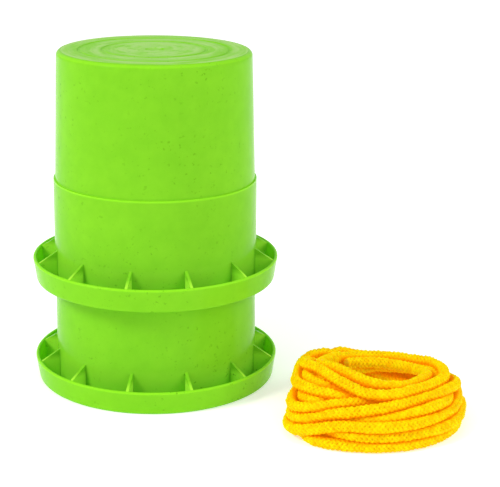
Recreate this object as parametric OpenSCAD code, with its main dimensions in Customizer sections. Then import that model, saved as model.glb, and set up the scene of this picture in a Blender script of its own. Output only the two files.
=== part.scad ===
// A pair of moulded tub stilts, one tub nested on the other, with the two
// hand ropes coiled on the ground beside them. Millimetres, +Z up. The
// origin is on the tubs' axis at ground level, and the viewer is at -Y.

/* [Tub] */
// Height of one tub, from its rim on the ground to its tread
tub_h = 132.5; // [110:0.5:150]
// Radius of the tread, where the wall would meet it without the rounding
tread_r = 55; // [48:0.5:60]
// Thickness of the wall above the ledge
wall_t = 1.4; // [1.2:0.1:1.8]
// Thickness of the tread
tread_t = 2.5; // [2:0.1:4]
// Rounding of the edge between the tread and the wall
tread_round = 3; // [2:0.1:4]

/* [Nesting ledge] */
// Height of the ledge that carries the mouth of the tub above
ledge_h = 59.5; // [50:0.5:70]
// Width of the ledge
ledge_w = 1; // [0.8:0.05:1.6]
// How much wider the wall is at the mouth than at the ledge
lower_flare = 0.35; // [0.25:0.05:0.8]
// Clearance round the lower tub inside the mouth of the upper one
nest_gap = 0.3; // [0.2:0.05:0.4]
// Clearance between the walls of nested tubs above the ledge
stack_gap = 0.45; // [0.35:0.05:0.8]

/* [Rim] */
// Width of the gutter between the wall and the rim ring, at its top
gutter_w = 10.55; // [9:0.05:13]
// How much narrower the rim ring is at the ground
rim_draft = 1.7; // [0.5:0.1:2.5]
// Height of the rim ring
rim_h = 13.5; // [10:0.5:16]
// Thickness of the rim ring
rim_t = 1.9; // [1.4:0.1:2.4]
// Thickness of the floor of the gutter between the wall and the rim ring
floor_t = 1.8; // [1.4:0.1:2.4]

/* [Gussets] */
// Number of gussets in the gutter
gusset_n = 12; // [8:2:16]
// Thickness of a gusset
gusset_t = 1.5; // [1.2:0.1:2]
// Height at which a gusset's sloping edge meets the wall
gusset_h = 20; // [18:0.5:26]

/* [Rope holes] */
// Diameter of the two rope holes in each tub
hole_d = 8; // [7:0.5:10]
// Depth of the holes' axis below the tread
hole_drop = 18; // [16:0.5:24]

/* [Tread relief] */
// Depth of the ring grooves in the tread
groove_depth = 0.6; // [0.3:0.1:1]
// Width of a ring groove at the surface
groove_w = 2.4; // [1.6:0.1:3]
// Radius of the shallow recess at the middle of the tread
recess_r = 5; // [3:0.5:6]

/* [Ribs under the tread] */
// Number of radial ribs
rib_n = 8; // [4:2:12]
// Thickness of a rib
rib_t = 1.4; // [1:0.1:2]
// Depth of the ribs below the tread
rib_depth = 8; // [5:0.5:10]
// Outer radius of the ring that joins the ribs in the middle
hub_r = 14; // [10:0.5:18]

/* [Ropes] */
// Diameter of the rope
rope_d = 6; // [5:0.1:6.5]
// Outer radius of a coil's centreline
coil_r = 48.5; // [46:0.5:52]
// Turns in one coil, half of them in each of its two layers
coil_turns = 6; // [4:1:6]
// Clearance between neighbouring turns
turn_gap = 0.8; // [0.5:0.1:1]
// Clearance between layers
layer_gap = 0.45; // [0.42:0.01:0.8]
// Clearance between the lower coil and the one that lies on it
coil_gap = 0.3; // [0.2:0.05:0.5]
// How far the coils lie to the right of the tubs' axis
coil_x = 118.75; // [116:0.25:150]
// How far the coils lie in front of the tubs' axis
coil_y = 77.4; // [75:0.1:110]

/* [Hidden] */
$fn = 96;
lime = [0.53, 0.86, 0.18];
yellow = [0.98, 0.83, 0.02];

// Overrun of the cuts
cut = 1;
// Steps in a rounded corner of the profile
corner_steps = 6;
// Rounding of the ledge's outer edge
ledge_round = 0.3;
// Rounding of the rim ring's foot
foot_round = 1.5;
// Fillets at the bottom of the gutter
gutter_round = 1.2;
// Fillet under the tread
inner_round = 1.6;
// Slope of a groove's sides, as a share of its width
groove_side_share = 0.25;
// Radii of the ring grooves, as shares of the tread's radius
groove_shares = [0.53, 0.77];
// Angle of the first gusset from the side of the tub, as a share of the
// angle between gussets
first_gusset_share = 0.5;
first_rib_share = 0.5;

// The wall draws in by its own thickness and the clearance over one
// nesting step, so that a tub of the same form slides down inside it
draft = (wall_t + stack_gap) / ledge_h;
function wall_r(z) = tread_r + draft * (tub_h - z);
ledge_in_r = wall_r(ledge_h);
ledge_out_r = ledge_in_r + ledge_w;
mouth_r = ledge_out_r + lower_flare;
mouth_in_r = ledge_in_r + nest_gap;
nest_pitch = ledge_h;

// Outer radius of the rim ring at its top edge
rim_r = mouth_r + gutter_w + rim_t;
rim_foot_r = rim_r - rim_draft;
rim_angle = atan(rim_draft / rim_h);
lip_r = rim_t / 2;
lip_centre = [rim_r - lip_r, rim_h - lip_r];
// Inner face of the rim ring where the gutter's fillet ends
rim_in_foot_r = rim_foot_r - rim_t + (floor_t + gutter_round) * rim_draft / rim_h;

// Points on an arc round c, from angle a to angle b
function arc(c, r, a, b, steps = corner_steps) =
    [for (i = [0:steps]) let (t = a + (b - a) * i / steps) c + r * [cos(t), sin(t)]];

// One groove of the tread's surface at radius r, from its outer edge inwards
function groove(r) = let (side = groove_side_share * groove_w) [
    [r + groove_w / 2, tub_h],
    [r + groove_w / 2 - side, tub_h - groove_depth],
    [r - groove_w / 2 + side, tub_h - groove_depth],
    [r - groove_w / 2, tub_h]
];

// Surface of the tread, from its edge to the middle
function tread_surface() = concat(
    [for (i = [len(groove_shares) - 1:-1:0]) for (p = groove(groove_shares[i] * tread_r)) p],
    [
        [recess_r + groove_side_share * groove_w, tub_h],
        [recess_r, tub_h - groove_depth],
        [0, tub_h - groove_depth]
    ]
);

// Outside of the tub, from the ground to the edge of the tread
function outside() = concat(
    arc([rim_foot_r - foot_round, foot_round], foot_round, -90, -rim_angle),
    arc(lip_centre, lip_r, -rim_angle, 180 - rim_angle, 2 * corner_steps),
    arc([rim_in_foot_r - gutter_round, floor_t + gutter_round], gutter_round, -rim_angle, -90),
    arc([mouth_r + gutter_round, floor_t + gutter_round], gutter_round, -90, -180),
    arc([ledge_out_r - ledge_round, ledge_h - ledge_round], ledge_round, 0, 90),
    [[ledge_in_r, ledge_h]],
    arc([wall_r(tub_h - tread_round) - tread_round, tub_h - tread_round], tread_round, 0, 90)
);

// Inside of the tub, from under the middle of the tread to the mouth
function inside() = let (z = tub_h - tread_t - inner_round) concat(
    [[0, tub_h - tread_t]],
    arc([wall_r(z) - wall_t - inner_round, z], inner_round, 90, 0),
    [
        [ledge_in_r - wall_t, ledge_h - wall_t],
        [ledge_out_r - wall_t, ledge_h - wall_t],
        [mouth_in_r, 0]
    ]
);

module shell() {
    rotate_extrude() polygon(concat(outside(), tread_surface(), inside()));
}

// A gusset in the gutter, from the rim ring up to the wall
module gusset() {
    wall_mid_r = (mouth_in_r + mouth_r) / 2;
    rotate([90, 0, 0])
        linear_extrude(gusset_t, center = true)
            polygon([
                [wall_mid_r, floor_t / 2],
                [rim_foot_r - rim_t / 2, floor_t / 2],
                [rim_r - rim_t / 2, rim_h - lip_r],
                [wall_mid_r, gusset_h]
            ]);
}

module gussets() {
    step = 360 / gusset_n;
    for (i = [0:gusset_n - 1])
        rotate([0, 0, (i + first_gusset_share) * step]) gusset();
}

// Radial ribs and a ring that stiffen the tread from below
module tread_ribs() {
    step = 360 / rib_n;
    // The ribs and the ring start half way up in the tread and the wall
    top = tub_h - tread_t / 2;
    bottom = tub_h - tread_t - rib_depth;
    reach = wall_r(tub_h - tread_t) - wall_t / 2;
    for (i = [0:rib_n - 1])
        rotate([0, 0, (i + first_rib_share) * step])
            translate([hub_r - rib_t / 2, -rib_t / 2, bottom])
                cube([reach - hub_r + rib_t / 2, rib_t, top - bottom]);
    translate([0, 0, bottom])
        difference() {
            cylinder(r = hub_r, h = top - bottom);
            translate([0, 0, -cut]) cylinder(r = hub_r - rib_t, h = top - bottom + 2 * cut);
        }
}

// The two holes for the rope, straight through the wall from side to side
module rope_holes() {
    translate([-rim_r, 0, tub_h - hole_drop])
        rotate([0, 90, 0]) cylinder(d = hole_d, h = 2 * rim_r);
}

module tub() {
    difference() {
        union() {
            shell();
            gussets();
            tread_ribs();
        }
        rope_holes();
    }
}

// Coils of rope. One coil winds inwards along the ground, climbs a layer in
// the half turn where the spiral reverses, and winds out again.

// Rings in one turn, and corners of a ring
coil_rings = 24;
coil_sides = 6;
// Angle at which both ends of a coil lie, behind it
coil_start = 75;
// How far the second coil is turned from the first
coil_shift = 40;
// Turns over which the spiral reverses and the rope climbs
reverse_turns = 0.1;
climb_turns = 0.5;
// Height of a ring's centre over its flat lower side
ring_half_h = rope_d / 2 * sin(60);
turn_pitch = rope_d + turn_gap;
layer_pitch = rope_d + layer_gap;

function ease(u) = let (v = max(0, min(1, u))) v * v * (3 - 2 * v);
// Distance of turn t from the turn where the spiral reverses, rounded there
function from_middle(t) = sqrt(pow(t - coil_turns / 2, 2) + pow(reverse_turns, 2));
function coil_radius(t) = coil_r - turn_pitch * (from_middle(0) - from_middle(t));
function coil_height(t) = layer_pitch * ease((t - coil_turns / 2) / climb_turns + 1 / 2);
function coil_point(t, start) = let (a = start + 360 * t)
    [coil_radius(t) * cos(a), coil_radius(t) * sin(a), coil_height(t)];
function unit(v) = v / norm(v);

// Centres of the rings. Each end runs straight for one rope diameter.
function coil_line(start) = let (
    last = coil_turns * coil_rings,
    p = [for (i = [0:last]) coil_point(i / coil_rings, start)]
) concat(
    [p[0] - rope_d * unit(p[1] - p[0])],
    p,
    [p[last] + rope_d * unit(p[last] - p[last - 1])]
);

// A ring of corners round centre i of a line, square to the line there
function ring_at(p, i) = let (
    along = unit(p[min(i + 1, len(p) - 1)] - p[max(i - 1, 0)]),
    side = unit(cross([0, 0, 1], along)),
    up = cross(along, side)
) [for (k = [0:coil_sides - 1]) let (a = 360 * k / coil_sides)
    p[i] + rope_d / 2 * (cos(a) * side + sin(a) * up)];

// One unbroken tube along a line
module rope(p) {
    n = len(p);
    corners = [for (i = [0:n - 1]) for (c = ring_at(p, i)) c];
    sides = [for (i = [0:n - 2]) for (k = [0:coil_sides - 1]) let (
        a = i * coil_sides + k,
        b = i * coil_sides + (k + 1) % coil_sides
    ) for (f = [[a, b, b + coil_sides], [a, b + coil_sides, a + coil_sides]]) f];
    first_end = [for (k = [1:coil_sides - 2]) [0, k + 1, k]];
    end = (n - 1) * coil_sides;
    last_end = [for (k = [1:coil_sides - 2]) [end, end + k, end + k + 1]];
    polyhedron(points = corners, faces = concat(sides, first_end, last_end));
}

// Least clearance of a line of rope to itself, from half a turn away onwards
function least_gap(p) = min([
    for (i = [0:len(p) - 1])
        for (j = [i + coil_rings / 2:1:len(p) - 1]) norm(p[i] - p[j])
]) - rope_d;

line_one = [for (c = coil_line(coil_start)) c + [coil_x, -coil_y, ring_half_h]];
coil_two_z = layer_pitch + 2 * ring_half_h + coil_gap;
line_two = [for (c = coil_line(coil_start + coil_shift)) c + [coil_x, -coil_y, ring_half_h + coil_two_z]];
echo(least_gap_one = least_gap(line_one), least_gap_two = least_gap(line_two));

module lower_tub() {
    color(lime) tub();
}

module upper_tub() {
    color(lime) translate([0, 0, nest_pitch]) tub();
}

module rope_one() {
    color(yellow) rope(line_one);
}

module rope_two() {
    color(yellow) rope(line_two);
}

lower_tub();
upper_tub();
rope_one();
rope_two();
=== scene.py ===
# %% [markdown]
# A pair of toy stilts is two moulded tubs, nested one on the other, and two
# hand ropes that lie in a loose pile beside them. The tubs' solids come from
# the packed model and stay where they are. This lesson gives them the finish
# of moulded plastic, and makes the ropes as the braided cord that they are.

import math

import bpy
import numpy as np
from mathutils import Matrix, Vector


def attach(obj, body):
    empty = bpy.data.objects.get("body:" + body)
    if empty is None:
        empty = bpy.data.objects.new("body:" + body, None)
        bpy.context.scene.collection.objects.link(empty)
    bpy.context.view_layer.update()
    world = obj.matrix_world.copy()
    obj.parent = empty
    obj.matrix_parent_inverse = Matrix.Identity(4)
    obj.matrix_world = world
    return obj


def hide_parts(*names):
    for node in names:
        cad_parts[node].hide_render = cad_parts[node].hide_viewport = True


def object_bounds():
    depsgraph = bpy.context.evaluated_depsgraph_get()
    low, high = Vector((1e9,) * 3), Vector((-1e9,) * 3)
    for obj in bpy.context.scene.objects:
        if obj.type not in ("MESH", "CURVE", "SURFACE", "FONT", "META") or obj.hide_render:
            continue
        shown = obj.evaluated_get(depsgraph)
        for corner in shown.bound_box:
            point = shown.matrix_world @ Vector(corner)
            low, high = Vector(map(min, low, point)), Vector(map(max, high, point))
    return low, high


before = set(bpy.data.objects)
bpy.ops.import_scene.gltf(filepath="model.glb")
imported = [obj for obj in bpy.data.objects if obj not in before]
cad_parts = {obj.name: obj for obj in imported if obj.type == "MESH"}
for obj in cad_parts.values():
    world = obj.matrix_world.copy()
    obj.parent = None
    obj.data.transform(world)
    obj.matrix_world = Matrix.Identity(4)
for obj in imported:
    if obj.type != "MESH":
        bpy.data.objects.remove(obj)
cad_low, cad_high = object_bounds()
MM = 0.001
print("nodes", sorted(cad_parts), "box mm", [round(v / MM, 1) for v in (cad_high - cad_low)])

# %% [markdown]
# The camera stands a little above the tubs and almost straight in front of
# them. It could be set by eye, but a small error in its tilt already shows in
# the width of the ellipses. Its place and lens were therefore found by fitting
# the ellipses of the tread, the ledge and the rims, and the tubs line up with
# the picture with no shift.

# %% Camera
camera_place = Vector((-16.92, -790.79, 316.73)) * MM
camera_yaw = math.radians(5.205)
camera_pitch = math.radians(16.779)
camera_roll = math.radians(0.761)
frame_width_px = 500
focal_px = 1411.808
sensor_width = 36.0


def camera_axes(yaw, pitch, roll):
    """The camera's right, up and forward vectors: forward is turned by yaw about Z and lowered
    by pitch, and right and up are then rolled about forward."""
    forward = Vector((math.sin(yaw) * math.cos(pitch), math.cos(yaw) * math.cos(pitch), -math.sin(pitch)))
    level = Vector((math.cos(yaw), -math.sin(yaw), 0))
    above = level.cross(forward)
    right = level * math.cos(roll) + above * math.sin(roll)
    up = above * math.cos(roll) - level * math.sin(roll)
    return right, up, forward


right, up, forward = camera_axes(camera_yaw, camera_pitch, camera_roll)
camera = bpy.data.objects.new("camera", bpy.data.cameras.new("camera"))
camera.data.sensor_width = sensor_width
camera.data.lens = focal_px * sensor_width / frame_width_px
camera.data.clip_start = 0.05
camera.data.clip_end = 20
turn = Matrix((right, up, -forward)).transposed().to_4x4()
camera.matrix_world = Matrix.Translation(camera_place) @ turn
bpy.context.scene.collection.objects.link(camera)
bpy.context.scene.camera = camera
print("lens mm", round(camera.data.lens, 2))

# %% [markdown]
# Each hand rope is 1.64 metres of braided cord. It lies in six or seven
# loose loops, the second rope on top of the first. A spiral from a formula
# would be shorter to write, but it would look wound by a machine. So the
# loops are drawn one by one: each line below is a run of chosen points, in
# millimetres to the right of the pile's middle, away from the viewer, and
# above the ground. The first rope's ends lie behind the pile. Those of the
# second lie on the inner side of the strands at the back.

# %% Where the loops pass
rope_d = 6.0 * MM
pile_centre = Vector((118.75, -77.4, 0)) * MM
pile_turn = math.radians(-10.6)
first_loops = [
    [(14.5, 51, 3), (0, 48, 3), (-28, 32.5, 3)],
    [(-36, -2, 3), (-31.5, -43.5, 3), (-15, -47.5, 3), (5, -46.5, 3), (24, -39, 3), (38, -25, 3)],
    [(45, 4.5, 3), (33.5, 31, 3), (0, 41.5, 3), (-24, 27, 3)],
    [(-30.5, 0, 3), (-28, -38, 3), (-12, -42.5, 3), (5, -41.5, 3), (27, -30.5, 3)],
    [(40.5, 2, 3), (27, 28, 3), (0, 35.5, 3), (-28, 29, 6)],
    [(-36.5, -2, 8.5), (-33, -32, 7.5), (-12.5, -47.5, 7.5), (5, -47, 8), (24, -38.5, 8),
     (38.5, -24.5, 8)],
    [(43, -2, 8.5), (34.5, 30, 8), (0, 45, 8), (-25, 27, 9)],
    [(-30.5, 0, 9), (-26, -30, 9), (0, -39, 8.5), (26, -29.5, 8.5)],
    [(40.5, 0, 8.5), (31.5, 33.5, 8.5), (0, 51, 8), (-34, 32.5, 5)],
    [(-41, -3, 3.5), (-44.5, -22.5, 3.5), (-38, -37, 5), (-26, -42, 8.5), (-12.5, -44, 11.5)],
    [(4.5, -46, 13), (23.5, -37.5, 13), (35, -24.5, 13), (41.5, 0, 13.5), (33, 29, 11), (0, 38.5, 9),
     (-28, 28, 12)],
    [(-36.5, -2, 13.5), (-30, -30, 14.5), (-6.5, -45, 16.5), (4.5, -43.5, 17), (18.5, -36, 17.5)],
    [(30.5, -25.5, 17.5), (39, -13, 16), (40, 3, 13.8), (33, 27, 12), (10.5, 45, 11)],
]
second_loops = [
    [(-3, 32, 8.5), (-28, 25, 8.5)],
    [(-41, -6, 8.7), (-42, -27.5, 9), (-35.5, -35, 11), (-23.5, -38.5, 15), (-13, -42, 18.5)],
    [(4, -39.5, 21.5), (18.5, -29.5, 22.5), (30, -20, 22), (38, -9.5, 21)],
    [(43, 1, 19.5), (41.5, 12.5, 17), (32, 28, 13), (0, 38, 10), (-30, 31, 10.5)],
    [(-39.5, -3, 14), (-40.5, -28.5, 14), (-33.5, -32.5, 16.5), (-23, -33.5, 19.5),
     (-12.5, -32.5, 21.5)],
    [(4, -27, 21), (22, -28, 19), (35.5, 2, 15), (28, 27, 12), (0, 47, 11), (-28, 28, 14)],
    [(-37, -1, 18.5), (-40, -21, 18.5), (-34, -28.5, 19.6), (-21.5, -30, 18.5), (0, -32, 15.5)],
    [(22, -27, 13), (32, 0, 10), (26, 23, 9), (0, 34, 10), (-30, 29, 17)],
    [(-41, 0, 19), (-41, -14.5, 20.5), (-36.5, -21.5, 21.5), (-30.5, -27.5, 22.5), (-21.5, -31, 22.5)],
    [(-12.5, -31.5, 21.5), (-3, -29.5, 20), (22, -24, 18), (34, -2, 17)],
    [(30, 18, 17), (19, 27, 16.5), (3.5, 32.5, 16.5), (-12.5, 27, 17), (-29, 20.5, 20)],
    [(-39, -1, 24), (-37.6, -9, 24.5), (-33.5, -15.5, 24.3), (-26, -20.5, 23.5), (-20, -22.5, 21.5)],
    [(-12.5, -24.5, 20.3), (0, -26.5, 20), (21, -22, 20.5), (32, 2, 18), (34, 16.5, 15),
     (27.5, 33, 13.5), (10.5, 39, 13), (-3, 39.5, 13)],
    [(-12, 39, 13.5), (-20, 37, 15), (-28, 30, 16.2), (-35, 19, 19.4), (-39.5, 6, 24.2),
     (-37, -3.5, 26.7)],
    [(-31.5, -8.5, 27.8), (-26, -16, 28), (-20.5, -22, 27.7), (-15, -27.5, 27.3), (-9.5, -32, 26.5),
     (-4, -35.5, 26)],
    [(1.5, -37, 26), (12, -34.5, 25.5), (22.5, -26, 25), (32, -14, 23.5), (36.5, -3, 22.5)],
    [(36, 7, 21), (34.5, 15, 20.5), (31, 22, 19.8), (23.5, 28, 19.3), (12, 33, 19.3), (0.5, 34, 19.3)],
    [(-10, 32, 19.5), (-19, 27, 20.5), (-26, 19.5, 22), (-30.5, 10, 24.8), (-31.5, 1, 27.5),
     (-28.5, -5, 29.2)],
    [(-22.5, -10, 30.3), (-16, -15.5, 30.3), (-10, -21, 30.2), (-4.9, -24.9, 30), (0, -27.2, 29.8),
     (5, -28, 29.5)],
    [(10, -26.8, 29), (14.8, -23.6, 28.2), (20, -17.4, 27.3), (25, -9.5, 26.3), (28, -1.5, 25.3),
     (28.5, 6, 24.3)],
    [(27, 13.5, 22.3), (22, 19.5, 21), (13, 24.8, 20.4), (2, 27, 20.2), (-9, 24.8, 20.6),
     (-18, 20, 21)],
]
print("points drawn", sum(len(run) for run in first_loops + second_loops))

# %% [markdown]
# A smooth line has to pass through the points. Blender's curves could do
# that, but their handles would have to be set one by one to keep the loops
# round. Every loop goes round the pile's middle, so the points are read as an
# angle and a reach instead, and a cubic between them gives round loops.

# %% A smooth line through the points
route_step = 2.0
samples_a_run = 400


def distance_run(line):
    """The distance along the line at each of its points, from 0."""
    return np.r_[0, np.cumsum(np.linalg.norm(np.diff(line, axis=0), axis=1))]


def evenly(line, step):
    """The same line with points spaced evenly, as near `step` apart as a whole number allows."""
    run = distance_run(line)
    places = np.linspace(0, run[-1], int(round(run[-1] / step)) + 1)
    return np.stack([np.interp(places, run, line[:, i]) for i in range(3)], axis=1)


def smooth_route(loops, step):
    """One smooth line through all the points, with a point every `step` millimetres. The points are
    taken as an angle a round the pile's middle and a reach r, and between two of them r and the
    height follow a cubic: (2t^3-3t^2+1)v0 + (t^3-2t^2+t)hs0 + (3t^2-2t^3)v1 + (t^3-t^2)hs1, where h
    is the angle between the points and s0 and s1 are the slopes there."""
    p = np.array([point for loop in loops for point in loop], float)
    angle = np.unwrap(np.arctan2(p[:, 1], p[:, 0]))
    a = np.linspace(angle[0], angle[-1], samples_a_run * len(loops))
    k = np.clip(np.searchsorted(angle, a, side="right") - 1, 0, len(p) - 2)
    h = angle[k + 1] - angle[k]
    t = (a - angle[k]) / h

    def along(v):
        s = np.gradient(v, angle)
        near = (1 + 2 * t) * (1 - t) ** 2 * v[k] + t * (1 - t) ** 2 * h * s[k]
        return near + t**2 * (3 - 2 * t) * v[k + 1] + t**2 * (t - 1) * h * s[k + 1]

    reach = along(np.hypot(p[:, 0], p[:, 1]))
    line = np.stack([reach * np.cos(a), reach * np.sin(a), along(p[:, 2])], axis=1)
    return evenly(line, step)


routes = [smooth_route(first_loops, route_step), smooth_route(second_loops, route_step)]
print("points on the routes", [len(r) for r in routes])

# %% [markdown]
# Loops drawn one by one still sink into each other here and there. On the
# real pile, cord rests on cord. A small simulation makes that nearly true:
# each point is drawn to its place on the route and down by a little weight,
# stiff cord spreads every push to its neighbours, and points of two strands
# that lie nearer than one cord's thickness push each other apart. Blender's
# own cloth or rigid bodies could do it too, but they would drift from the
# drawn shape. This one has no random draws, so it ends the same way each time.

# %% Let the loops settle on each other
settle_steps = 500
draw_to_route = 0.02
weight = 0.006
calm_from_share = 0.7
calm_share = 0.25
least_apart = 5.65
same_strand = 5
stiff_passes = 4
push_passes = 4
push_share = 0.25
look_again_every = 6
look_further = 2.5
never_zero = 1e-9


def near_pairs(p, strand):
    """Pairs of points i < j that lie near each other and aren't neighbours along one strand."""
    square = (p * p).sum(axis=1)
    apart = square[:, None] + square[None] - 2 * p @ p.T
    i, j = np.nonzero(np.triu(apart < (least_apart + look_further) ** 2, 1))
    real = (strand[i] != strand[j]) | (j - i > same_strand)
    return i[real], j[real]


def settle(lines):
    """The lines at rest on each other and on the ground, all lengths in millimetres."""
    rest = np.concatenate(lines)
    strand = np.repeat(np.arange(len(lines)), [len(line) for line in lines])
    joined = (strand[1:] == strand[:-1])[:, None]
    ground = rope_d / MM / 2
    p = rest.copy()
    for step in range(settle_steps):
        if step % look_again_every == 0:
            i, j = near_pairs(p, strand)
        calm = 1 if step < settle_steps * calm_from_share else calm_share
        p += draw_to_route * calm * (rest - p)
        p[:, 2] -= weight * calm
        # A stiff cord shares its bends, so the distance moved is smoothed along it
        moved = p - rest
        for _ in range(stiff_passes):
            bend = (moved[1:] - moved[:-1]) * joined
            moved[:-1] += bend / 4
            moved[1:] -= bend / 4
        p = rest + moved
        for _ in range(push_passes):
            between = p[i] - p[j]
            distance = np.linalg.norm(between, axis=1) + never_zero
            push = (push_share * np.maximum(0, least_apart - distance) / distance)[:, None] * between
            for axis in range(3):
                onward = np.bincount(i, push[:, axis], len(p))
                back = np.bincount(j, push[:, axis], len(p))
                p[:, axis] += onward - back
            p[:, 2] = np.maximum(p[:, 2], ground)
    return [p[strand == s] for s in range(len(lines))], distance.min()


settled, closest = settle(routes)
print("least distance between strands mm", round(float(closest), 2))

# %% [markdown]
# The cord is a diamond braid: five yarns wind one way round it and five the
# other way, each passing over one and under the next. Every yarn could be a
# thin tube of its own, but that takes many more faces, and a picture of a
# braid would vanish at the outline. So the relief is in the mesh of one tube.
# The tube is a grid: one way is the distance along the cord and the other the
# angle round it. The yarns' crests raise the surface and the crossings leave
# pits.

# %% The braid's relief
yarns_each_way = 5
yarn_pitch = 2.5
crest_r = 3.3
pit_depth = 1.25
yarn_roundness = 0.8
column_roundness = 0.5


def yarn_phases(run, angle):
    """The phase across the yarns of each set: n times the angle, plus or minus a turn for every pitch
    along the cord. Its cosine is 1 along the middle of a yarn."""
    twist = 2 * np.pi * run / yarn_pitch
    return yarns_each_way * angle + twist, yarns_each_way * angle - twist


def braid_height(run, angle):
    """From 0 in the pits to 1 on the crests. A yarn is round across, so its height is |cos(phase/2)|
    to a power below 1, and it shows on its own columns, where cos(n * angle) is above or below 0."""
    one_way, other_way = yarn_phases(run, angle)
    column = np.cos(yarns_each_way * angle)
    over = np.abs(np.cos(one_way / 2)) ** yarn_roundness * (0.5 + 0.5 * column) ** column_roundness
    under = np.abs(np.cos(other_way / 2)) ** yarn_roundness * (0.5 - 0.5 * column) ** column_roundness
    return np.maximum(over, under)


print("yarns each way", yarns_each_way, "crests across mm", 2 * crest_r)

# %% [markdown]
# Real cord isn't even: it swells where its yarns are fuller, and its braid
# lies tighter in other places. Noise in the material couldn't move the
# outline, so the swellings are random values, smoothed along the cord and
# round it, that the mesh follows. The seed makes them the same each time.

# %% Swellings along the cord
round_count = 35
lump_height = 0.3
lump_length = 1.9
lumps_round = 8


def spread_round(columns):
    """Values at a few places round the cord, brought to all its points round by a straight blend."""
    count = columns.shape[1]
    place = np.arange(round_count) * count / round_count
    k = place.astype(int)
    return columns[:, k] + (place - k) * (columns[:, (k + 1) % count] - columns[:, k])


def lumps(run, seed):
    """Uneven swellings from -1 to 1: seeded random values at every lump length along the cord and at
    eight places round it, eased between neighbours by 3t^2-2t^3 along and t round."""
    rows = int(run[-1] / lump_length) + 2
    values = np.random.default_rng(seed).uniform(-1, 1, (rows, lumps_round))
    row = run / lump_length
    i = row.astype(int)
    t = (row - i)[:, None]
    along = values[i] + (3 * t**2 - 2 * t**3) * (values[i + 1] - values[i])
    return spread_round(along)


print("swellings every mm", lump_length, "up to mm", lump_height)

# %% [markdown]
# Deep in a pile of bright cord, light has met other strands first, so the
# gaps turn orange. That orange is painted into the cord's colour as shade.
# Blender could look for the gaps with rays while it renders. Worked out here
# once, they become a part of the mesh: each spot carries a number for how
# much of what it faces is cord close by. The number is found at seven spots
# of every fourth ring and blended between them.

# %% How hidden each spot is
look_every = 4
looks_round = 7
near_along = 8.0
fade = 16.0


def hidden_share(path, run, side, above, own, other):
    """How much of what each spot faces is cord close by, from 0 to 1: over the points of both settled
    lines, the sum of facing * cord area / (pi * distance^2) * exp(-(distance / fade)^2), where facing
    is the cosine to the spot's own outward direction. Neighbours along the same strand don't count."""
    rows = np.arange(0, len(path), look_every)
    around = np.arange(looks_round) / looks_round * 2 * np.pi
    outward = np.cos(around)[:, None] * side[rows, None] + np.sin(around)[:, None] * above[rows, None]
    spot = path[rows, None] + crest_r * outward
    total = np.zeros(spot.shape[:2])
    for line, same in ((own, True), (other, False)):
        to_cord = (line[None, None] - spot[:, :, None]).astype(np.float32)
        distance = np.maximum(np.linalg.norm(to_cord, axis=-1), crest_r)
        facing = np.maximum((to_cord * outward[:, :, None].astype(np.float32)).sum(axis=-1) / distance, 0)
        faded = np.exp(-((distance / fade) ** 2))
        share = facing * (2 * crest_r * route_step / np.pi) / distance**2 * faded
        if same:
            along = np.arange(len(line)) * run[-1] / (len(line) - 1)
            share *= np.abs(along[None] - run[rows, None])[:, None] > near_along
        total += share.sum(axis=-1)
    fine = np.stack([np.interp(run, run[rows], total[:, k]) for k in range(looks_round)], axis=1)
    return np.clip(spread_round(fine), 0, 1)


print("looks at every ring number", look_every, "in directions", looks_round)

# %% [markdown]
# The tube follows the settled line, with a ring of points every 0.6
# millimetres. A curve with a round bevel would be quicker, but it has no
# points for the braid's relief. The surface is built as whole arrays of
# points and quads. Such cord is often cut with heat, which melts the ends
# into small round caps, and the ends are closed in that way.

# %% The braided tube
ring_step = 0.62
smoothing_passes = 6
cap_length = 2.2
cap_round = 0.96
cap_straight = 0.04
least_closing = 0.05
flattened_at = 0.02
gap_from = 0.35


def place_in_pile(line):
    """Millimetres in the pile's own axes to metres in the object's frame."""
    c, s = math.cos(pile_turn), math.sin(pile_turn)
    out = line * MM
    x = out[:, 0] * c - out[:, 1] * s + pile_centre.x
    y = out[:, 0] * s + out[:, 1] * c + pile_centre.y
    return np.stack([x, y, out[:, 2]], axis=1)


def path_with_axes(line):
    """The line with a point for every ring, the distance run at each, and two directions across it:
    side, which is level, and above. Both are at right angles to the line and to each other."""
    path = evenly(line, ring_step)
    # Smoothed once more, because the settled line was made of short straight steps
    for _ in range(smoothing_passes):
        path[1:-1] = path[1:-1] / 2 + (path[:-2] + path[2:]) / 4
    ahead = np.gradient(path, axis=0)
    ahead /= np.linalg.norm(ahead, axis=1)[:, None]
    side = np.cross([0, 0, 1], ahead)
    side /= np.linalg.norm(side, axis=1)[:, None]
    return path, distance_run(path), side, np.cross(ahead, side)


def grid_faces(rows, columns):
    """Quads between rows of a grid whose columns close round, wound so that they face outwards."""
    i, k = np.meshgrid(np.arange(rows - 1), np.arange(columns), indexing="ij")
    after = (k + 1) % columns
    corners = [i * columns + k, i * columns + after, (i + 1) * columns + after, (i + 1) * columns + k]
    return np.stack(corners, axis=-1).reshape(-1, 4)


def mesh_object(name, points, faces, extra_faces=()):
    """A smooth mesh object at the origin, from arrays of points in metres and of quads."""
    mesh = bpy.data.meshes.new(name)
    mesh.from_pydata(points.tolist(), [], faces.tolist() + [list(f) for f in extra_faces])
    mesh.shade_smooth()
    mesh.validate()
    made = bpy.data.objects.new(name, mesh)
    bpy.context.scene.collection.objects.link(made)
    return made


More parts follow.
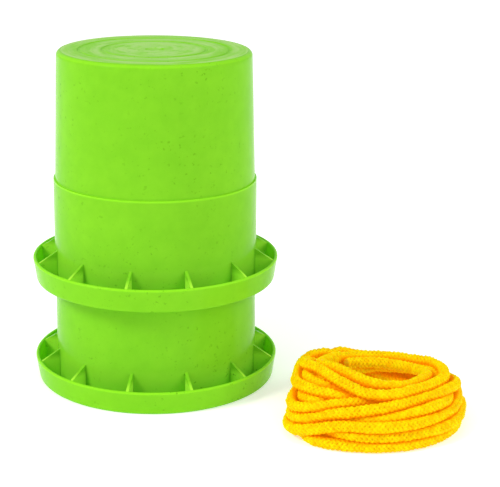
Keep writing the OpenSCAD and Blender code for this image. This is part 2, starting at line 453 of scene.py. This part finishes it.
def braided_rope(name, line, other, seed):
    """A tube round the line: centre + r(s, a) * (cos(a) * side + sin(a) * above), with r the crest
    radius less the pits, plus lumps. In the caps r is multiplied by 0.96 sqrt(1 - (1 - u)^2) + 0.04 u,
    where u goes from 0 at the end to 1 at a cap's length from it."""
    path, run, side, above = path_with_axes(line)
    angle = np.arange(round_count) / round_count * 2 * np.pi
    s, a = np.meshgrid(run, angle, indexing="ij")
    height = braid_height(s, a)
    swell = lumps(run, seed)
    from_end = np.clip(np.minimum(s, run[-1] - s) / cap_length, 0, 1)
    closing = cap_round * np.sqrt(1 - (1 - from_end) ** 2) + cap_straight * from_end
    radius = crest_r - pit_depth * (1 - height) + lump_height * swell
    radius = radius * np.maximum(closing, least_closing)
    ring = np.cos(a)[..., None] * side[:, None] + np.sin(a)[..., None] * above[:, None]
    points = (path[:, None] + radius[..., None] * ring).reshape(-1, 3)
    # The cord flattens a little where it lies on the ground
    points[:, 2] = np.maximum(points[:, 2], flattened_at)
    first_cap = np.arange(round_count)[::-1]
    last_cap = np.arange(round_count) + (len(path) - 1) * round_count
    faces = grid_faces(len(path), round_count)
    rope = mesh_object(name, place_in_pile(points), faces, [first_cap, last_cap])
    hidden = hidden_share(path, run, side, above, line, other)
    marks = {"braid_height": height, "braid_run": s * MM, "braid_angle": a, "seal": 1 - from_end,
             "lump": swell, "hidden": hidden}
    for mark, values in marks.items():
        layer = rope.data.attributes.new(mark, "FLOAT", "POINT")
        layer.data.foreach_set("value", values.astype(np.float32).ravel())
    print(name, "length m", round(run[-1] * MM, 3), "faces", len(rope.data.polygons))
    print(name, "share of its surface in gaps", round(float((hidden > gap_from).mean()), 2))
    return rope, place_in_pile(path)


ropes = [braided_rope("braided_rope_one", settled[0], settled[1], 1),
         braided_rope("braided_rope_two", settled[1], settled[0], 2)]

# %% [markdown]
# A Blender material is a small network of nodes. It could be wired by hand in
# the editor, but a script shows every number and can be read again. These
# short helpers keep the wiring readable: each makes a node or a few, plugs in
# what it is given, and hands back what comes out.

# %% Helpers for materials


class Nodes:
    """Short calls for the nodes of one material."""

    def __init__(self, name):
        self.material = bpy.data.materials.new(name)
        self.material.use_nodes = True
        self.tree = self.material.node_tree
        self.shader = self.tree.nodes["Principled BSDF"]

    def add(self, kind, **settings):
        """A new node with its settings."""
        node = self.tree.nodes.new(kind)
        for key, value in settings.items():
            setattr(node, key, value)
        return node

    def put(self, value, socket):
        """A link if the value is a socket, and the socket's own number if not."""
        if isinstance(value, bpy.types.NodeSocket):
            self.tree.links.new(value, socket)
        else:
            socket.default_value = value

    def shade(self, name, value):
        """The value, put into the shader's socket of this name."""
        self.put(value, self.shader.inputs[name])

    def math(self, operation, *values):
        """One step of arithmetic."""
        node = self.add("ShaderNodeMath", operation=operation)
        for i, value in enumerate(values):
            self.put(value, node.inputs[i])
        return node.outputs[0]

    def times(self, one, other):
        """The product of the two."""
        return self.math("MULTIPLY", one, other)

    def most(self, one, other):
        """The larger of the two."""
        return self.math("MAXIMUM", one, other)

    def attribute(self, name):
        """A number that the mesh carries at each point."""
        return self.add("ShaderNodeAttribute", attribute_name=name).outputs["Fac"]

    def place(self):
        """The place on the object, in metres from the common origin."""
        return self.add("ShaderNodeTexCoord").outputs["Object"]

    def noise(self, vector, scale, detail=2.0, roughness=0.5):
        """Smooth noise with about `scale` features to the unit, mostly between 0.3 and 0.7."""
        node = self.add("ShaderNodeTexNoise")
        self.put(vector, node.inputs["Vector"])
        node.inputs["Scale"].default_value = scale
        node.inputs["Detail"].default_value = detail
        node.inputs["Roughness"].default_value = roughness
        return node.outputs["Fac"]

    def span(self, value, low, high, to_low=0.0, to_high=1.0):
        """The value's range from low to high, stretched to another range and held at its ends."""
        node = self.add("ShaderNodeMapRange")
        for socket, number in zip(node.inputs, (value, low, high, to_low, to_high)):
            self.put(number, socket)
        return node.outputs[0]

    def below(self, value, low, high):
        """1 up to low, falling to 0 at high."""
        return self.span(value, low, high, 1.0, 0.0)

    def band(self, value, low, high, soft):
        """1 between low and high, falling to 0 over a soft width outside them."""
        return self.times(self.span(value, low - soft, low), self.below(value, high, high + soft))

    def mix(self, share, one, other):
        """From one colour at share 0 to the other at share 1."""
        node = self.add("ShaderNodeMix", data_type="RGBA")
        self.put(share, node.inputs[0])
        for value, socket in ((one, node.inputs[6]), (other, node.inputs[7])):
            self.put(value, socket)
        return node.outputs[2]

    def bump(self, height, strength, distance, under=None):
        """A normal that leans as if the surface had this height, on top of another such normal."""
        node = self.add("ShaderNodeBump")
        self.put(height, node.inputs["Height"])
        node.inputs["Strength"].default_value = strength
        node.inputs["Distance"].default_value = distance
        if under is not None:
            self.put(under, node.inputs["Normal"])
        return node.outputs[0]


print("helpers", [name for name in vars(Nodes) if not name.startswith("_")])

# %% [markdown]
# The cord's yellow is strong, and it turns orange in the gaps, where light
# has bounced from strand to strand; that orange is painted shade. A wrapped
# picture of a braid would need to match every crest, so the colour comes from
# what the mesh carries: its height in the braid, its swellings, and how hidden
# each spot is. The fine structure is the yarns' own: each is a bundle of
# filaments, and the pits and the lines between the filaments are painted
# darker as shade. The lines follow the yarns' phases, so they bend with the
# cord.

# %% Yellow cord
filaments_per_yarn = 6
shaded_yellow = (0.875, 0.56, 0.0, 1)
bright_yellow = (0.91, 0.735, 0.001, 1)
# Painted shade tones for spots hidden among the strands
painted_warm_shade = (0.98, 0.56, 0.0, 1)
painted_gap_shade = (0.92, 0.30, 0.0, 1)
# Painted shade for the pits and the lines between filaments
painted_crevice_shade = (0.58, 0.16, 0.0, 1)
sealed_amber = (0.55, 0.33, 0.005, 1)
# Painted light: the colour of a faint glow on the cord
painted_glow_colour = (1.0, 0.46, 0.0, 1)
warm_share = 0.7
orange_share = 0.85
line_dark = 0.35
pit_dark = 0.88
hollow_scale = 420.0
fibre_scale = 2600.0


def filament_lines(n, fibres):
    """The cosine of the phase across the filaments of the yarn on top, roughened by the fibres. It is
    low along the lines between filaments."""
    around = n.times(n.attribute("braid_angle"), float(yarns_each_way))
    twist = n.times(n.attribute("braid_run"), 2 * math.pi / (yarn_pitch * MM))
    column = n.math("GREATER_THAN", n.math("COSINE", around), 0.0)
    way = n.math("SUBTRACT", n.times(column, 2.0), 1.0)
    phase = n.math("ADD", around, n.times(twist, way))
    threads = n.math("COSINE", n.times(phase, float(filaments_per_yarn)))
    return n.math("ADD", threads, n.span(fibres, 0.3, 0.7, -0.6, 0.6))


def cord_colour(n, threads, hidden):
    """Yellow that varies with the swellings, with painted shade: warmer and then orange where the cord is
    hidden, and brown in the pits and between the filaments."""
    # The painted shade in pits and between filaments is darker in some places than in others
    uneven = n.span(n.noise(n.place(), hollow_scale, 2.0, 0.6), 0.35, 0.62, 0.25, 1.0)
    dark_line = n.span(threads, -1.4, 0.2, line_dark, 0.0)
    pit = n.span(n.attribute("braid_height"), 0.15, 0.7, pit_dark, 0.0)
    deep = n.times(n.most(dark_line, pit), uneven)
    face = n.mix(n.span(n.attribute("lump"), -0.7, 0.7), shaded_yellow, bright_yellow)
    # Painted shade: warmer, then orange, where the cord is hidden by other strands
    face = n.mix(n.times(n.span(hidden, 0.10, 0.40), warm_share), face, painted_warm_shade)
    face = n.mix(n.times(n.span(hidden, 0.42, 0.78), orange_share), face, painted_gap_shade)
    # Painted shade: brown in the braid's pits and between the filaments
    return n.mix(deep, face, painted_crevice_shade)


def cord_material():
    """Yellow braid, glossy and amber where heat sealed the ends."""
    n = Nodes("yellow_braid")
    fibres = n.noise(n.place(), fibre_scale, 3.0, 0.6)
    threads = filament_lines(n, fibres)
    hidden = n.attribute("hidden")
    seal = n.attribute("seal")
    sealed = n.span(seal, 0.2, 0.6)
    n.shade("Base Color", n.mix(sealed, cord_colour(n, threads, hidden), sealed_amber))
    n.shade("Roughness", n.span(seal, 0.2, 0.6, 0.55, 0.3))
    # Painted light: the cord glows faintly all over, though it is no lamp, and a little more where loops
    # cover each other
    n.shade("Emission Color", painted_glow_colour)
    n.shade("Emission Strength", n.span(hidden, 0.05, 0.35, 0.07, 0.15))
    n.shade("Specular IOR Level", 0.03)
    n.shade("Subsurface Weight", 0.5)
    n.shade("Subsurface Radius", (1.0, 0.2, 0.01))
    n.shade("Subsurface Scale", 0.003)
    relief = n.bump(threads, 0.35, 0.00012)
    n.shade("Normal", n.bump(fibres, 0.25, 0.00015, relief))
    return n.material


cord_yellow = cord_material()
for (rope, path), node, body in zip(ropes, ("rope_one", "rope_two"), ("first_rope", "second_rope")):
    rope.data.materials.append(cord_yellow)
    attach(rope, body)
    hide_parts(node)
print("cord material nodes", len(cord_yellow.node_tree.nodes))

# %% [markdown]
# The tubs are moulded in lime polyethylene: a soft colour with a satin sheen,
# slightly cloudy, with a few darker specks of pigment and a fine grain from
# the mould. Light goes a little way into it. Highlights are painted lighter on
# the edges. The gutter is painted lighter too, for light that passes through
# the thin ring, and with it the foot of the wall beside the gutter. A picture
# wrapped round the tub would show its seam, so each mark is worked out from a
# place on the tub: its distance from the axis and its height over the tub's
# own foot. Both tubs get the same finish, and the marks stay on a tub when it
# is lifted.

# %% Lime plastic
tread_h = 132.5
tread_flat_r = 52.0
tread_round = 3.0
ledge_h = 59.5
rim_h = 13.5
gutter_floor_h = 1.8
gutter_in_r = 59.2
gutter_out_r = 69.0
deep_lime = (0.178, 0.530, 0.014, 1)
light_lime = (0.216, 0.595, 0.018, 1)
# Painted highlight tone, for the edges and the thin ring
painted_light_lime = (0.275, 0.74, 0.018, 1)
# Painted light tones for the gutter and for the foot of the wall beside it
painted_gutter_lime = (0.42, 0.86, 0.05, 1)
painted_wall_foot_lime = (0.30, 0.70, 0.04, 1)
speck_green = (0.10, 0.36, 0.003, 1)
tread_edge_share = 0.7
highlight_share = 0.7
wall_foot_share = 0.55
ring_share = 0.15
speck_share = 0.7
cloud_scale = 18.0
mottle_scale = 130.0
speck_scale = 380.0
gather_scale = 24.0


def cloudy_lime(n, place):
    """Deep to light lime, by wide clouds and a finer mottle."""
    cloud = n.span(n.noise(place, cloud_scale, 3.0, 0.55), 0.35, 0.65)
    mottle = n.span(n.noise(place, mottle_scale, 3.0, 0.6), 0.3, 0.7)
    return n.mix(n.math("ADD", n.times(cloud, 0.45), n.times(mottle, 0.55)), deep_lime, light_lime)


def painted_edge_highlights(n, tone, radius, height):
    """The tone with painted highlights: lighter on the edge of the tread, on the ledge, and on top of the
    rim ring. Here and below, the small numbers are millimetres: how far past its edge a band goes,
    and how softly."""
    tread_edge = n.times(n.band(height, tread_h - tread_round / 2, tread_h - 0.7, 0.5),
                         n.span(radius, tread_flat_r, tread_flat_r + 0.5))
    ledge_edge = n.band(height, ledge_h - 0.9, ledge_h + 0.1, 0.3)
    rim_edge = n.times(n.band(height, rim_h - 0.9, rim_h + 0.5, 0.5),
                       n.span(radius, gutter_out_r - 0.2, gutter_out_r + 0.2))
    edges = n.most(n.most(n.times(tread_edge, tread_edge_share), ledge_edge), rim_edge)
    return n.mix(n.times(edges, highlight_share), tone, painted_light_lime)


def painted_gutter_light(n, tone, radius, height):
    """The tone with painted light: lighter in the gutter and at the foot of the wall beside it, and a
    little on the ring, for the light that comes through the thin ring."""
    over_floor = n.span(height, gutter_floor_h - 0.5, gutter_floor_h - 0.1)
    in_gutter = n.times(n.band(radius, gutter_in_r, gutter_out_r, 0.4),
                        n.times(over_floor, n.below(height, rim_h, rim_h + 3)))
    tone = n.mix(in_gutter, tone, painted_gutter_lime)
    wall_foot = n.times(n.below(height, rim_h, rim_h + 8), n.below(radius, gutter_in_r - 0.4, gutter_in_r))
    tone = n.mix(n.times(wall_foot, wall_foot_share), tone, painted_wall_foot_lime)
    on_ring = n.times(n.span(radius, gutter_out_r - 0.2, gutter_out_r + 0.2),
                      n.below(height, rim_h, rim_h + 0.5))
    return n.mix(n.times(on_ring, ring_share), tone, painted_light_lime)


def pigment_specks(n, tone, place):
    """The tone with darker specks, which gather in some places and are few in others."""
    speck = n.span(n.noise(place, speck_scale, 2.0, 0.7), 0.63, 0.70)
    gathered = n.span(n.noise(place, gather_scale, 2.0, 0.6), 0.42, 0.62, 0.1, 1.0)
    return n.mix(n.times(n.times(speck, gathered), speck_share), tone, speck_green)


print("edges at mm", tread_h, ledge_h, rim_h)

# %% [markdown]
# The tread is painted with a grey sheen that stands in for the reflection of
# the pale sky on it. The painted reflection lies in patches drawn out round its
# middle, and it is thinner along the ring grooves and in the middle. Streaks
# from noise on straight axes would lie across the rings, so this noise is read
# round the middle: its place is the direction from the axis, and the distance
# from it.

# %% The painted reflection on the tread
groove_radii = (29.0, 42.4)
middle_spot_r = 4.5
# Painted reflection on the tread
painted_reflection_grey = (0.335, 0.61, 0.14, 1)
patch_scale = 1.4
patches_outward = 0.16
reflection_in_grooves = 0.3


def painted_tread_reflection(n, tone, on_tread, x, y, across, radius):
    """The tone with a painted reflection over it: tread * patches * share, where share falls from 1 to
    0.3 in the bare rings and in the middle."""
    bare = n.below(radius, middle_spot_r - 1.5, middle_spot_r + 1.5)
    for groove_r in groove_radii:
        bare = n.most(bare, n.band(radius, groove_r - 2.0, groove_r + 0.8, 3.0))
    around = n.add("ShaderNodeCombineXYZ")
    n.put(n.math("DIVIDE", x, across), around.inputs[0])
    n.put(n.math("DIVIDE", y, across), around.inputs[1])
    n.put(n.times(radius, patches_outward), around.inputs[2])
    patches = n.span(n.noise(around.outputs[0], patch_scale, 3.0, 0.55), 0.40, 0.57, 0.1, 1.0)
    painted_sheen = n.times(n.times(on_tread, patches), n.span(bare, 0.0, 1.0, 1.0, reflection_in_grooves))
    return n.mix(painted_sheen, tone, painted_reflection_grey)


print("grooves at mm", groove_radii)

# %% [markdown]
# The plastic is put together from these tones. The sheen is satin: uneven
# where hands have rubbed it, and duller on the tread. It could be one number,
# but then the long highlights on the wall would look like glass.

# %% Both tubs in lime plastic
rub_scale = 60.0
grain_scale = 2200.0
tread_duller = 0.2


def tub_material(name, foot):
    """Satin lime plastic for a tub whose foot is at this height in millimetres."""
    n = Nodes(name)
    place = n.place()
    parts = n.add("ShaderNodeSeparateXYZ")
    n.put(place, parts.inputs[0])
    x, y, z = parts.outputs
    across = n.math("SQRT", n.math("ADD", n.times(x, x), n.times(y, y)))
    radius = n.math("DIVIDE", across, MM)
    height = n.math("SUBTRACT", n.math("DIVIDE", z, MM), float(foot))
    on_tread = n.times(n.span(height, tread_h - 1.0, tread_h - 0.7),
                       n.below(radius, tread_flat_r, tread_flat_r + 0.8))
    tone = painted_edge_highlights(n, cloudy_lime(n, place), radius, height)
    tone = painted_gutter_light(n, tone, radius, height)
    tone = painted_tread_reflection(n, tone, on_tread, x, y, across, radius)
    n.shade("Base Color", pigment_specks(n, tone, place))
    satin = n.span(n.noise(place, rub_scale, 4.0, 0.65), 0.3, 0.7, 0.16, 0.25)
    n.shade("Roughness", n.math("ADD", satin, n.times(on_tread, tread_duller)))
    n.shade("IOR", 1.5)
    n.shade("Specular IOR Level", 0.04)
    n.shade("Subsurface Weight", 0.2)
    n.shade("Subsurface Radius", (0.7, 1.0, 0.25))
    n.shade("Subsurface Scale", 0.003)
    n.shade("Normal", n.bump(n.noise(place, grain_scale, 3.0, 0.6), 0.12, 0.0001))
    return n.material


for name, foot in (("lower_tub", 0), ("upper_tub", ledge_h)):
    lime = tub_material("lime_plastic_" + name, foot)
    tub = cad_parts[name]
    tub.data.materials.clear()
    tub.data.materials.append(lime)
    print(name, "plastic nodes", len(lime.node_tree.nodes))

# %% [markdown]
# The picture shows the stilts on plain white, in soft light from all round
# with a little more from the upper left. A pale floor alone would turn grey
# under the tubs, so it glows a little, as a light table does. Large lamps
# give soft light, and a pale sky fills the shadows.

# %% Floor and light
floor_half = 4.0
floor_below = 0.0001
floor_glow = 0.36
floor_tones = ((0.88, 0.88, 0.88, 1), (0.9, 0.9, 0.9, 1))
white = (1, 1, 1, 1)
lamps_face = Vector((0.04, 0, 0.08))
sky_strength = 0.60


def pale_floor():
    """A large flat floor just under the feet of the tubs."""
    corners = [(-1, -1, 0), (1, -1, 0), (1, 1, 0), (-1, 1, 0)]
    points = np.array(corners, float) * floor_half
    points[:, 2] = cad_low.z - floor_below
    floor = mesh_object("floor", points, np.array([(0, 1, 2, 3)]))
    n = Nodes("pale_floor")
    faint = n.span(n.noise(n.place(), 3.0), 0.3, 0.7)
    n.shade("Base Color", n.mix(faint, *floor_tones))
    n.shade("Emission Color", white)
    n.shade("Emission Strength", floor_glow)
    n.shade("Roughness", 0.9)
    n.shade("Specular IOR Level", 0.1)
    floor.data.materials.append(n.material)


def lamp(name, place, size, power):
    """A square area lamp that faces the tubs."""
    light = bpy.data.lights.new(name, "AREA")
    light.size = size
    light.energy = power
    made = bpy.data.objects.new(name, light)
    made.location = place
    made.rotation_euler = (lamps_face - made.location).to_track_quat("-Z", "Y").to_euler()
    bpy.context.scene.collection.objects.link(made)


pale_floor()
lamp("left_window", Vector((-2.0, -0.8, 1.9)), 0.8, 44)
lamp("right_fill", Vector((2.1, -1.0, 1.5)), 1.4, 22)
lamp("low_front", Vector((0.8, -1.2, 0.36)), 0.5, 1.1)
lamp("top_soft", Vector((0, 0.1, 2.6)), 1.2, 4)
world = bpy.data.worlds.new("pale_sky")
world.use_nodes = True
sky = world.node_tree.nodes["Background"].inputs
sky["Color"].default_value = white
sky["Strength"].default_value = sky_strength
bpy.context.scene.world = world
bpy.context.scene.view_settings.view_transform = "Standard"

# %% [markdown]
